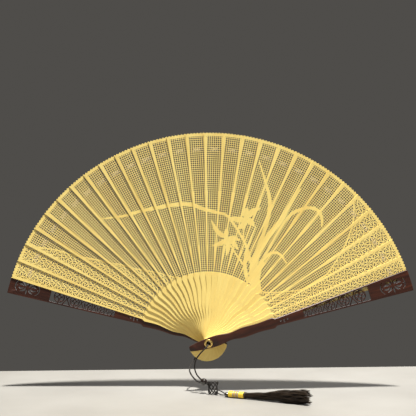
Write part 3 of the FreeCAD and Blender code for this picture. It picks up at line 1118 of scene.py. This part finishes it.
def grained(tree, shape, given):
    """Stores the plate's own grain map, turns the plate to its place; and its finish."""
    upright = add(tree, "ShaderNodeSeparateXYZ",
                  {0: out(add(tree, "GeometryNodeInputPosition"))})
    grain = vector(tree, calc(tree, "ADD", out(upright, "X"), given["Grain_Offset"]),
                   out(upright, "Z"))
    mapped = out(add(tree, "GeometryNodeStoreNamedAttribute",
                     {"Geometry": shape, "Name": "grain", "Value": grain},
                     data_type="FLOAT2", domain="CORNER"))
    turned = moved(tree, mapped, vector(tree, y=given["Layer"]),
                   vector(tree, y=given["Lean"]))
    return turned, given["Material"]


def make_guards():
    tree = carved_guard_tree()
    openings = bundle("openings", medallion_cutters())
    panel = bundle("panel", [window(lattice_reach, guard_rail)])
    unit = bundle("unit", lattice_unit())
    for number, node in enumerate(("front_guard", "rear_guard")):
        mesh = grow(tree, upright_blank(node, 0.3 * MM), Openings=openings, Panel=panel,
                    Unit=unit, Unit_Reach=lattice_first_ring,
                    Unit_Shrink=lattice_shrink, Unit_Count=lattice_rings, Lean=LEAN[node],
                    Layer=layer(node), Grain_Offset=0.21 + 0.4 * number,
                    Material=FINISH["guard_wood"])
        finished(node + "_carved", mesh, node, (node,), 32)
    for group in (openings, panel, unit):
        discard(group)


# ---- the linking thread -------------------------------------------------------------
def flat_thread(line, width, low, high):
    """A flat thread in the XZ plane along a zigzag line, from y = low to y = high."""
    shape = bmesh.new()
    for start, end in zip(line, line[1:]):
        heading = (end - start).normalized()
        side = Vector((-heading.y, heading.x)) * width / 2
        reach = heading * width * 0.3
        corners = (start - reach + side, start - reach - side,
                   end + reach - side, end + reach + side)
        rings = [[shape.verts.new((point.x, y, point.y)) for point in corners]
                 for y in (low, high)]
        shape.faces.new(rings[0])
        shape.faces.new(rings[1][::-1])
        for index in range(4):
            after = (index + 1) % 4
            shape.faces.new((rings[0][index], rings[1][index], rings[1][after],
                             rings[0][after]))
    return shape


def make_link_thread():
    """Stitches on every stick, and one length of thread across each gap."""
    stick_half = (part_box(UPRIGHT_STICK)[1][1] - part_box(UPRIGHT_STICK)[0][1]) / 2
    order = ["rear_guard"] + STICKS + ["front_guard"]
    for node in STICKS:
        face = layer(node) - stick_half
        shape = bmesh.new()
        for hand in (1, -1):
            zigzag = [Vector((x * MM, thread_distance + hand * rise * MM))
                      for x, rise in ((-4, -2.1), (-1.33, 2.1), (1.33, -2.1), (4, 2.1))]
            part = mesh_of("part", flat_thread(zigzag, 0.42 * MM, -0.07 * MM, 0.0))
            shape.from_mesh(part)
        mesh = mesh_of(node + "_stitches", shape)
        mesh.transform(Matrix.Translation((0, face, 0))
                       @ Matrix.Rotation(LEAN[node], 4, "Y"))
        mesh.materials.append(FINISH["link_thread"])
        finished(node + "_stitches", mesh, node)
    pitch = layer(STICKS[0]) - layer(STICKS[1])
    gap = layer(STICKS[0]) + stick_half + (pitch - 2 * stick_half) * 0.30
    for node, after in zip(order, order[1:]):
        ends = [Vector((thread_distance * math.sin(LEAN[one]),
                        thread_distance * math.cos(LEAN[one]))) for one in (node, after)]
        if node == "rear_guard":
            ends[0] = ends[0].lerp(ends[1], 0.5)    # the rest is inside the guard
        shape = flat_thread(ends, 0.3 * MM, gap - 0.05 * MM, gap + 0.05 * MM)
        mesh = mesh_of("thread_from_" + node, shape)
        mesh.materials.append(FINISH["link_thread"])
        replaced = ("link_thread",) if node == "rear_guard" else ()
        piece = finished("thread_from_" + node, mesh, node, replaced)
        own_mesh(piece)
        gap -= pitch


# ---- beads, knot and tassel ---------------------------------------------------------
def lathe(name, profile, segments=48):
    """A solid of revolution about +Z; profile holds (radius, height) round a closed loop."""
    shape = bmesh.new()
    rings = []
    for step in range(segments):
        angle = math.tau * step / segments
        rings.append([shape.verts.new((radius * math.cos(angle),
                                       radius * math.sin(angle), height))
                      for radius, height in profile])
    count = len(profile)
    for step, ring in enumerate(rings):
        next_ring = rings[(step + 1) % segments]
        for index in range(count):
            after = (index + 1) % count
            shape.faces.new((ring[index], next_ring[index], next_ring[after],
                             ring[after]))
    return mesh_of(name, shape)


def bead_mesh(name, radius, bore):
    """A round bead with a countersunk bore."""
    lip = math.asin((bore * 1.35) / radius)
    profile = []
    for step in range(19):
        angle = lip + (math.pi - 2 * lip) * step / 18
        profile.append((radius * math.sin(angle), radius * math.cos(angle)))
    mouth = radius * math.cos(lip) - bore * 0.5
    profile += [(bore, -mouth), (bore, mouth)]
    return lathe(name, profile)


def aim(mesh, place, heading):
    """Turns a mesh built along +Z towards a heading and carries it to its place."""
    turn = Vector(heading).to_track_quat("Z", "Y").to_matrix().to_4x4()
    mesh.transform(Matrix.Translation(place) @ turn)
    return mesh


def middle_of(node):
    low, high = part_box(node)
    return (Vector(low) + Vector(high)) / 2


def painted(mesh, slot):
    mesh.materials.clear()
    mesh.materials.append(FINISH[slot])
    return mesh


def make_beads():
    """The crown bead and the small bead, each bored along the cord."""
    knot = middle_of("tassel_knot")
    pieces = []
    for node, target, bore in (("crown_bead", knot, 0.8 * MM),
                               ("tassel_bead", middle_of("tassel_collar"), 0.7 * MM)):
        place = middle_of(node)
        low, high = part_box(node)
        mesh = painted(bead_mesh(node + "_turned", (high[2] - low[2]) / 2, bore),
                       "bead_black")
        aim(mesh, place, target - place)
        pieces.append(finished(node + "_turned", mesh, "pivot", (node,),
                               40))
    return pieces


def knot_line(turns=240):
    """The woven path of the knot: one closed cord, over and under itself."""
    low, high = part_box("tassel_knot")
    middle = middle_of("tassel_knot")
    half_height = (high[2] - low[2]) / 2 - knot_inset
    half_width = knot_half_width - knot_inset
    half_depth = 1.75 * MM
    turn = Matrix.Rotation(math.atan2(-0.35, 1.0), 3, "Z")
    points = []
    for step in range(turns):
        t = math.tau * step / turns
        place = Vector((half_width * math.cos(3 * t + 0.35),
                        half_depth * math.cos(7 * t + 0.9),
                        half_height * math.cos(4 * t)))
        points.append(middle + turn @ place)
    return points


def closed_cord(points, radius, material):
    """A laid cord along a closed line; its lobes meet where it closes."""
    length = line_length(points + points[:1])
    turns = round(length / (cord_lay * 2 * radius) * 3) / 3
    line = strand_mesh(points + points[:1])
    shape = bmesh.new()
    shape.from_mesh(line)
    bmesh.ops.remove_doubles(shape, verts=shape.verts[:], dist=1e-6)
    shape.to_mesh(line)
    shape.free()
    return grow(TWISTED_CORD, line, Radius=radius, Step=radius * 0.55,
                Twist=math.tau * turns / length, Material=material)


def make_knot():
    """The knot, the two short ends into the crown bead, and the neck to the next bead."""
    radius = knot_cord_radius
    knot = closed_cord(knot_line(), radius, FINISH["cord_black"])
    pieces = [finished("tassel_knot_woven", knot, "pivot",
                       ("tassel_knot",), 180)]
    crown = middle_of("crown_bead")
    small = middle_of("tassel_bead")
    heart = middle_of("tassel_knot")
    for side, name in ((1, "upper"), (-1, "lower")):
        start = crown + (heart - crown) * 0.12 + Vector((0, side * 0.5 * MM, 0))
        end = heart + Vector((-2.6, -0.9 + side * 0.6, 3.4)) * MM
        bend = (start + end) / 2 + Vector((0.5, 0.0, 0.9 * side)) * MM
        line = smooth_line_3d((start, bend, end), 8)
        mesh = twisted(line, radius, FINISH["cord_black"])
        pieces.append(finished(f"knot_{name}_end", mesh, "pivot", (), 180))
    strands = []
    for side in (1, -1):
        start = heart + Vector((2.6, -1.6, -2.0 + side * 1.3)) * MM
        end = small + Vector((-1.2, 0.4, 0.45 * side)) * MM
        bend = (start + end) / 2 + Vector((0.2, -0.2, -0.4 + 0.9 * side)) * MM
        line = smooth_line_3d((start, bend, end), 8)
        strands.append(twisted(line, radius, FINISH["cord_black"]))
    for mesh, name in zip(strands, ("upper", "lower")):
        replaced = ("neck_cords",) if name == "upper" else ()
        pieces.append(finished(f"neck_cord_{name}", mesh, "pivot",
                               replaced, 180))
    return pieces


def smooth_line_3d(points, steps):
    return smooth_line([Vector(point) for point in points], steps)


def winding_tree():
    """A thread wound round a core: a spiral that fills a length, built along +Z."""
    tree, given = new_tree("winding", Seed="Geometry", Core_Radius="Float",
                           Thread="Float", Length="Float", Material="Material")
    turns = calc(tree, "DIVIDE", given["Length"], given["Thread"])
    radius = calc(tree, "ADD", given["Core_Radius"],
                  calc(tree, "MULTIPLY", given["Thread"], 0.4))
    rise = calc(tree, "SUBTRACT", given["Length"], given["Thread"])
    spiral = out(add(tree, "GeometryNodeCurveSpiral",
                     {"Resolution": 40, "Rotations": turns, "Start Radius": radius,
                      "End Radius": radius, "Height": rise}))
    ring = out(add(tree, "GeometryNodeCurvePrimitiveCircle",
                   {"Resolution": 7,
                    "Radius": calc(tree, "MULTIPLY", given["Thread"], 0.56)}))
    wound = out(add(tree, "GeometryNodeCurveToMesh",
                    {"Curve": spiral, "Profile Curve": ring, "Fill Caps": True}))
    lifted = moved(tree, wound, vector(tree, z=calc(tree, "MULTIPLY",
                                                    given["Thread"], 0.5)))
    return close_tree(tree, lifted, given["Material"])


def skirt_tree():
    """Fibres of the tassel, lying along +X on the plane z = 0 and fanning out."""
    tree, given = new_tree(
        "tassel_skirt", Seed="Geometry", Count="Int", Points="Int", Length="Float",
        Start_Radius="Float", End_Radius="Float", Start_Height="Float",
        Thickness="Float", Wave="Float", Material="Material")
    roots = out(add(tree, "GeometryNodeMeshLine", {"Count": given["Count"]},
                    mode="OFFSET"))
    index = out(add(tree, "GeometryNodeInputIndex"))
    lock = calc(tree, "FLOOR", calc(tree, "DIVIDE", index, 16.0))
    for number, (name, low, high, own_part) in enumerate((
            ("turn", 0.0, math.tau, 0.25), ("share", 0.0, 0.9, 0.12),
            ("reach", 0.84, 0.95, 0.05), ("phase", 0.0, math.tau, 0.35),
            ("pace", 0.6, 1.5, 0.1), ("lift", 0.0, math.tau, 0.2))):
        of_lock, of_fibre = [out(add(
            tree, "FunctionNodeRandomValue",
            {"Min": least, "Max": most, "ID": one, "Seed": 11 + number}), "Value")
            for one, least, most in ((lock, low, high), (index, 0.0, own_part))]
        chance = calc(tree, "ADD", of_lock, of_fibre)
        roots = out(add(tree, "GeometryNodeStoreNamedAttribute",
                        {"Geometry": roots, "Name": name, "Value": chance},
                        data_type="FLOAT", domain="POINT"))
    fibre = out(add(tree, "GeometryNodeCurvePrimitiveLine",
                    {"End": vector(tree, 1.0)}))
    fibre = out(add(tree, "GeometryNodeResampleCurve",
                    {"Curve": fibre, "Count": given["Points"]}))
    fibres = out(add(tree, "GeometryNodeRealizeInstances",
                     {0: copies(tree, roots, fibre)}))

    def own(name):
        return out(add(tree, "GeometryNodeInputNamedAttribute", {"Name": name},
                       data_type="FLOAT"), "Attribute")

    along = out(add(tree, "GeometryNodeSplineParameter"), "Factor")
    spread = calc(tree, "POWER", own("share"), 0.5)
    opening = out(add(tree, "ShaderNodeMapRange",
                      {"Value": along, "From Min": -0.05, "From Max": 1.0,
                       "To Min": given["Start_Radius"], "To Max": given["End_Radius"]},
                      interpolation_type="SMOOTHSTEP"))
    radius = calc(tree, "MULTIPLY", spread, opening)
    swing = calc(tree, "ADD", calc(tree, "MULTIPLY",
                                   calc(tree, "MULTIPLY", along, 11.0), own("pace")),
                 own("phase"))
    strength = calc(tree, "MULTIPLY", given["Wave"],
                    calc(tree, "POWER", along, 0.6))
    wave_y = calc(tree, "MULTIPLY", calc(tree, "SINE", swing), strength)
    wave_z = calc(tree, "MULTIPLY",
                  calc(tree, "SINE", calc(tree, "ADD", swing, own("lift"))), strength)
    x = calc(tree, "MULTIPLY", calc(tree, "MULTIPLY", along, given["Length"]),
             own("reach"))
    y = calc(tree, "ADD", calc(tree, "MULTIPLY", radius,
                               calc(tree, "COSINE", own("turn"))), wave_y)
    height = calc(tree, "ADD", given["Start_Height"],
                  calc(tree, "SUBTRACT", opening, given["Start_Radius"]))
    z = calc(tree, "ADD", calc(tree, "ADD", height,
                               calc(tree, "MULTIPLY", radius,
                                    calc(tree, "SINE", own("turn")))), wave_z)
    z = calc(tree, "MAXIMUM", z, given["Thickness"])
    fibres = out(add(tree, "GeometryNodeSetPosition",
                     {"Geometry": fibres, "Position": vector(tree, x, y, z)}))
    ring = out(add(tree, "GeometryNodeCurvePrimitiveCircle",
                   {"Resolution": 3, "Radius": given["Thickness"]}))
    hair = out(add(tree, "GeometryNodeCurveToMesh",
                   {"Curve": fibres, "Profile Curve": ring, "Fill Caps": True}))
    return close_tree(tree, hair, given["Material"])


def collar_axis():
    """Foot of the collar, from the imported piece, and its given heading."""
    collar = middle_of("tassel_collar")
    heading = Vector((0.9, -0.43, 0)).normalized()
    foot = collar - heading * collar_length / 2
    return Vector((foot.x, foot.y, table_level + collar_radius)), heading


def make_collar():
    """A tube wound with gold thread, and coloured windings over it."""
    foot, heading = collar_axis()
    tree = winding_tree()
    pieces = []
    core = lathe("collar_core", ((0.6 * MM, 0.0), (collar_radius - 0.5 * MM, 0.0),
                                 (collar_radius - 0.22 * MM, 0.3 * MM),
                                 (collar_radius - 0.22 * MM, collar_length - 0.3 * MM),
                                 (collar_radius - 0.5 * MM, collar_length),
                                 (0.6 * MM, collar_length)))
    aim(painted(core, "cord_black"), foot, heading)
    pieces.append(finished("collar_core", core, "pivot", (), 40))

    def wound(name, slot, start, length, radius, thread, replaced):
        mesh = grow(tree, Core_Radius=radius, Thread=thread, Length=length,
                    Material=FINISH[slot])
        aim(mesh, foot + heading * start, heading)
        pieces.append(finished(name, mesh, "pivot", replaced, 180))

    thread = 0.34 * MM
    wound("collar_gold_winding", "collar_gold", 0.0, collar_length,
          collar_radius - 0.30 * MM, thread, ("tassel_collar",))
    for node, slot, shares in (
            ("collar_blue_winding", "winding_blue", (0.30, 0.46, 0.60)),
            ("collar_black_winding", "winding_black", (0.38, 0.53))):
        for number, share in enumerate(shares):
            replaced = (node,) if number == 0 else ()
            wound(f"{node}_{number + 1}", slot, collar_length * share, 0.75 * MM,
                  collar_radius - 0.08 * MM, 0.25 * MM, replaced)
    wound("skirt_binding_wound", "tassel_black", collar_length, 2.0 * MM,
          2.75 * MM, 0.4 * MM, ("skirt_binding",))
    return pieces


def make_skirt():
    foot, heading = collar_axis()
    top = foot + heading * (collar_length + 1.2 * MM)
    mesh = grow(skirt_tree(), Count=960, Points=17, Length=skirt_length + 0.8 * MM,
                Start_Radius=2.75 * MM, End_Radius=6.3 * MM, Start_Height=3.3 * MM,
                Thickness=0.15 * MM, Wave=1.5 * MM, Material=FINISH["tassel_black"])
    turn = Matrix.Rotation(math.atan2(heading.y, heading.x), 4, "Z")
    mesh.transform(Matrix.Translation((top.x, top.y, table_level)) @ turn)
    return finished("tassel_fibres", mesh, "pivot", ("tassel_skirt",))


# ---- building it --------------------------------------------------------------------
place_camera()
light_studio()
lay_floor()
legs = make_cord()
make_sticks()
make_guards()
make_link_thread()
hanging = make_beads() + make_knot() + make_collar()
make_skirt()

for node in ("pivot_eyelet", "pivot_washer"):
    for material_slot in frame["nodes"][node].material_slots:
        material_slot.material = FINISH["eyelet_brass"]
